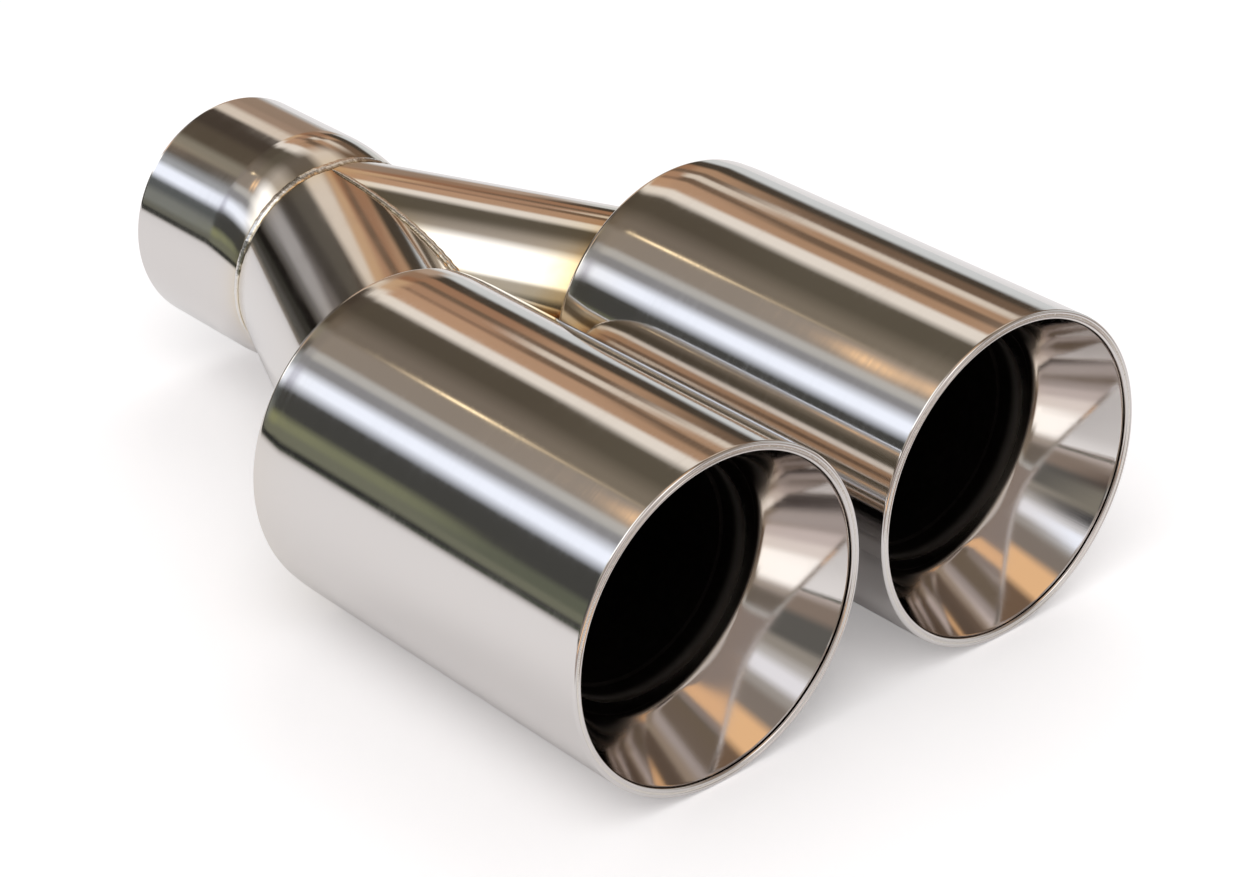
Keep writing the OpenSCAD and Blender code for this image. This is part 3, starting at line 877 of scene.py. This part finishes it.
# Rows of cards. Each row reaches from one angle to another, from +Y, and its cards are set
# round Y from +X up towards +Z: start, end and colour. All angles are in degrees. The gaps
# between cards, and between rows, are soft edges.
rows = (
    (0, 15.5, (
        (40, 70, dark_brown), (82, 92, (0.36, 0.34, 0.33)), (97, 99, (0.19, 0.18, 0.17)),
        (104, 106, (0.09, 0.08, 0.07)), (110, 120, (0.012, 0.010, 0.008)),
        (129, 138, (0.045, 0.042, 0.035)), (155, 172, (0.10, 0.095, 0.085)), (205, 240, taupe))),
    (17.5, 22, (
        (40, 60, dark_brown), (70, 76, (0.10, 0.09, 0.08)), (82, 92, (0.44, 0.42, 0.41)),
        (100, 105, (0.15, 0.14, 0.13)), (110, 145, charcoal), (160, 195, (0.15, 0.14, 0.13)),
        (205, 240, taupe))),
    (25, 37, (
        (-40, -5, sky), (8, 40, timber), (46, 53, cream), (57, 66, (0.125, 0.11, 0.09)),
        (70, 75, (0.075, 0.065, 0.055)), (80, 84, (0.20, 0.18, 0.17)), (92, 97, (0.30, 0.26, 0.22)),
        (102, 112, (0.42, 0.37, 0.32)), (120, 124, (0.60, 0.57, 0.54)), (129, 145, window),
        (151, 156, (0.20, 0.20, 0.19)), (162, 172, (0.10, 0.10, 0.09)),
        (178, 195, (0.05, 0.05, 0.045)))),
    (38.8, 43.2, (
        (-40, -5, sky), (8, 26, (0.36, 0.26, 0.19)), (31, 38, (0.42, 0.30, 0.22)), (45, 53, cream),
        (58, 76, (0.075, 0.057, 0.043)), (84, 97, (0.115, 0.09, 0.063)),
        (104, 111, (0.30, 0.27, 0.21)), (116, 121, (0.13, 0.12, 0.105)),
        (129, 132, (0.42, 0.44, 0.46)), (138, 145, daylight), (152, 157, (0.125, 0.135, 0.135)),
        (164, 171, (0.25, 0.26, 0.24)), (176, 178, (0.17, 0.17, 0.14)),
        (180, 183, (0.05, 0.05, 0.045)))),
    (44.6, 46.5, (
        (-40, -2, sky), (3, 14, (0.50, 0.37, 0.28)), (19, 26, (0.36, 0.22, 0.14)),
        (31, 35, (0.36, 0.18, 0.10)), (38.5, 52, (0.67, 0.44, 0.26)), (57.5, 62.5, pale_cream),
        (68, 81.5, (0.10, 0.08, 0.06)), (95, 101, (0.20, 0.16, 0.12)), (105, 117, (0.30, 0.26, 0.22)),
        (120, 123, (0.46, 0.45, 0.44)), (126, 130, grey), (137.5, 142, (0.75, 0.78, 0.92)),
        (151, 163, charcoal), (168, 171, (0.30, 0.31, 0.17)), (175, 179, olive),
        (181, 184, near_black))),
    (48.3, 51.5, (
        (-40, 8, sky), (12, 20, dark_brown), (23, 30, (0.40, 0.22, 0.13)), (32, 35, brown),
        (38, 44, (0.49, 0.29, 0.18)), (45, 47, (0.33, 0.20, 0.13)), (49, 58, (0.60, 0.37, 0.23)),
        (61, 66, pale_cream), (71, 84, (0.11, 0.09, 0.065)), (97, 103, (0.23, 0.19, 0.15)),
        (107, 118, taupe), (121, 124, pale_grey), (127, 131, grey), (137.5, 142, daylight),
        (150, 162, charcoal), (167, 170, (0.27, 0.28, 0.17)), (173, 178, olive),
        (181, 184, near_black))),
    (53, 55.5, (
        (-40, 8, sky), (12, 20, dark_brown), (24, 30, timber), (32, 35, brown), (37, 41, cream),
        (43, 47, brown), (49, 58, (0.56, 0.35, 0.22)), (61, 66, pale_cream),
        (71, 84, (0.11, 0.09, 0.065)), (97, 103, (0.23, 0.19, 0.15)), (107, 118, taupe),
        (121, 124, pale_grey), (127, 131, grey), (137.5, 142, daylight), (150, 162, charcoal),
        (167, 170, (0.24, 0.25, 0.16)), (173, 178, olive), (181, 184, near_black))),
    (58.5, 64, (
        (-40, 9, sky), (14, 19, dark_brown), (23, 30, brown), (33, 36, cream), (40, 44, timber),
        (46, 50, brown), (53, 58, timber), (61, 67, pale_cream), (73, 86, (0.13, 0.11, 0.08)),
        (98, 103, (0.25, 0.21, 0.16)), (107, 118, (0.37, 0.32, 0.27)), (121, 124, pale_grey),
        (127, 130, grey), (138, 142.5, daylight), (150, 165, charcoal), (169, 174, (0.14, 0.15, 0.11)),
        (176, 179, olive), (181, 184, charcoal))),
    (76, 94, (
        (-40, 5, sky), (15, 40, brown), (50, 60, cream), (68, 82, (0.17, 0.14, 0.11)),
        (94, 101, (0.55, 0.49, 0.42)), (112, 138, window), (142, 150, (0.55, 0.51, 0.44)),
        (157, 172, charcoal), (178, 186, olive))),
    (104, 116, (
        (-40, 30, sky), (45, 73, brown), (79, 95, orange), (101, 112, (0.27, 0.23, 0.20)),
        (117, 119, (0.42, 0.39, 0.36)), (125, 131, (1.00, 1.00, 1.06)), (137, 138, (0.58, 0.56, 0.54)),
        (143, 147, (0.36, 0.33, 0.29)), (151, 165, (0.135, 0.13, 0.12)),
        (170, 177, (0.29, 0.23, 0.19)), (186, 210, rose))),
    (117.5, 120, (
        (-40, 30, sky), (50, 72, (0.16, 0.12, 0.09)), (78, 93, orange), (100, 108, (0.26, 0.23, 0.20)),
        (112, 113, (0.40, 0.38, 0.35)), (121, 128, daylight), (131, 132, (0.75, 0.75, 0.77)),
        (139, 143, (0.07, 0.07, 0.075)), (147, 160, (0.26, 0.24, 0.20)),
        (166, 173, (0.085, 0.06, 0.05)), (182, 200, rose))),
    (122, 127, (
        (-40, 0, sky), (20, 60, taupe), (75, 118, (0.17, 0.125, 0.095)),
        (122, 126, (0.45, 0.38, 0.30)), (131, 146, (0.40, 0.33, 0.27)),
        (158, 178, (0.10, 0.085, 0.08)))),
    (131, 134, (
        (-40, 0, sky), (20, 60, taupe), (80, 112, (0.22, 0.16, 0.12)), (120, 128, (0.48, 0.39, 0.31)),
        (138, 178, (0.62, 0.56, 0.545)))),
    (137, 140, (
        (-40, 0, sky), (20, 60, taupe), (90, 110, white), (117, 128, (0.95, 0.86, 0.84)),
        (136, 141, (0.55, 0.49, 0.475)), (150, 180, (0.25, 0.20, 0.16)))),
    (143, 147, (
        (-40, 0, sky), (15, 50, taupe), (70, 92, window), (100, 112, white),
        (120, 130, (0.85, 0.77, 0.75)), (146, 180, (0.25, 0.20, 0.15)))),
    (150, 158, (
        (-40, -2, sky), (8, 32, (0.25, 0.22, 0.19)), (41, 46, (0.60, 0.54, 0.49)), (57, 84, window),
        (94, 104, (1.20, 1.12, 1.08)), (125, 180, (0.70, 0.63, 0.61)))),
    (164, 180, (
        (-40, 180, rose),)),
)

# Single lights: the middle round Y and from +Y, the half widths of both, and the colour that
# is added there.
lights = (
    (104.5, 54.4, 0.9, 1.5, (1.9, 1.5, 0.9)),
    (104.5, 57.0, 0.8, 3.0, (0.35, 0.27, 0.15)),
    (113, 61.2, 4.5, 0.9, (1.15, 0.66, 0.27)),
    (112, 64.0, 4.5, 0.9, (1.15, 0.66, 0.27)),
    (115, 33, 7, 5, (0.60, 0.33, 0.15)),
)
light_reach = 2.4  # in half widths
tent_r = 1200.0


def row_colours(cards, degrees_round):
    """Colours of one row at angles round the Y axis: a card's own inside its band, and a straight
    blend from one card to the next between them."""
    places = np.array([p for start, end, _ in cards for p in (start, end)], float)
    colours = np.array([c for _, _, c in cards for _ in (0, 1)])
    turned = (degrees_round + 60) % 360 - 60
    return np.stack([np.interp(turned, places, colours[:, k]) for k in range(3)], -1)


def tent_colours(degrees_round, degrees_from_y):
    """Colours of the tent: each row's own inside its reach, a straight blend between rows, and
    the single lights on top as bell curves."""
    colours = np.zeros((*degrees_round.shape, 3))
    for number, (_, _, cards) in enumerate(rows):
        own = np.repeat(np.arange(len(rows)) == number, 2).astype(float)
        share = np.interp(degrees_from_y, row_edges, own)
        colours += share[..., None] * row_colours(cards, degrees_round)
    for middle, tilt, half_round, half_tilt, colour in lights:
        off = ((degrees_round - middle) / half_round) ** 2 + ((degrees_from_y - tilt) / half_tilt) ** 2
        colours += np.exp(-off)[..., None] * np.array(colour)
    return colours


def tent_grid(turn, tilt):
    """A ball round the part, open by a degree at both poles: tilt is the angle from +Y, turn the
    angle round Y."""
    round_y, from_y = np.meshgrid(turn, tilt)
    return tent_r * np.stack([
        np.sin(from_y) * np.cos(round_y), np.cos(from_y), np.sin(from_y) * np.sin(round_y)], -1)


def card_material():
    """Cards that glow in the colour kept at each point, and light nothing but reflections."""
    material, tree = blank_material("tent_cards")
    material.cycles.emission_sampling = "NONE"
    tree.nodes.remove(tree.nodes["Principled BSDF"])
    colour = put(tree, "ShaderNodeAttribute", attribute_name="card_colour").outputs["Color"]
    glow = put(tree, "ShaderNodeEmission", {"Color": colour}).outputs[0]
    tree.links.new(glow, tree.nodes["Material Output"].inputs["Surface"])
    return material


# The tent needs a ring of points at each row's edges and a few across each light.
row_edges = [place for near, far, _ in rows for place in (near, far)]
light_steps = [tilt + step * half_tilt for _, tilt, _, half_tilt, _ in lights
               for step in np.linspace(-light_reach, light_reach, 9)]
tent_tilt = np.radians(np.unique(np.round(np.clip(row_edges + light_steps, 1, 179), 2)))
tent = skin("light_tent", tent_grid(around(960), tent_tilt), ring=False)
tent_place = np.zeros(len(tent.data.vertices) * 3, np.float32)
tent.data.vertices.foreach_get("co", tent_place)
tent_place = tent_place.reshape(-1, 3) * 1000 / tent_r
tent_shade = tent_colours(np.degrees(np.arctan2(tent_place[:, 2], tent_place[:, 0])) % 360,
                          np.degrees(np.arccos(np.clip(tent_place[:, 1], -1, 1))))
tent_shade = np.concatenate([tent_shade, np.ones((len(tent_shade), 1))], 1).astype(np.float32)
tent_layer = tent.data.attributes.new("card_colour", "FLOAT_COLOR", "POINT")
tent_layer.data.foreach_set("color", tent_shade.ravel())
for kind in ("camera", "diffuse", "transmission", "volume_scatter", "shadow"):
    setattr(tent, "visible_" + kind, False)
tent.data.materials.append(card_material())


# Lamps and world
# Two large soft boxes above the part, and an even grey sky, which the camera sees as white.
boxes = (("key_box", (-0.9, -0.7, 1.5), 1.4, 17), ("fill_box", (1.1, 0.5, 1.3), 1.6, 9))
for name, place, width, watts in boxes:
    lamp = bpy.data.lights.new(name, "AREA")
    lamp.shape, lamp.size, lamp.energy = "SQUARE", width, watts
    box = placed(name, lamp)
    toward = np.array(place) / np.linalg.norm(place)
    box.location = place
    box.rotation_euler = (acos(toward[2]), 0, np.arctan2(toward[1], toward[0]) + pi / 2)
    box.visible_glossy = False
world = bpy.data.worlds.new("even_sky")
bpy.context.scene.world = world
world.use_nodes = True
world_tree = world.node_tree
background = world_tree.nodes["Background"].inputs
world_tree.links.new(remap(world_tree, seen_by_mirrors(world_tree), low=0.5), background["Strength"])
background["Color"].default_value = (1, 1, 1, 1)


# Camera
# The photograph's viewpoint: from the front left and above, with a long lens.
azimuth, elevation, roll = radians(-40.68), radians(28.99), radians(-0.907)
eye = np.array([-0.49963, -0.74996, 0.41786])
back = np.array([sin(azimuth) * cos(elevation), -cos(azimuth) * cos(elevation), sin(elevation)])
level = np.cross(-back, (0, 0, 1))
level /= np.linalg.norm(level)
upright = np.cross(level, -back)
right = cos(roll) * level + sin(roll) * upright
up = cos(roll) * upright - sin(roll) * level
axes = np.stack([right, up, back], 1)
lens = bpy.data.cameras.new("camera")
lens.sensor_width, lens.lens = 36.0, 99.46
lens.clip_start, lens.clip_end = 0.01, 100.0
camera = placed("camera", lens)
camera.matrix_world = Matrix([(*axis, place) for axis, place in zip(axes, eye)] + [(0, 0, 0, 1)])
bpy.context.scene.camera = camera
bpy.context.scene.view_settings.view_transform = "Standard"
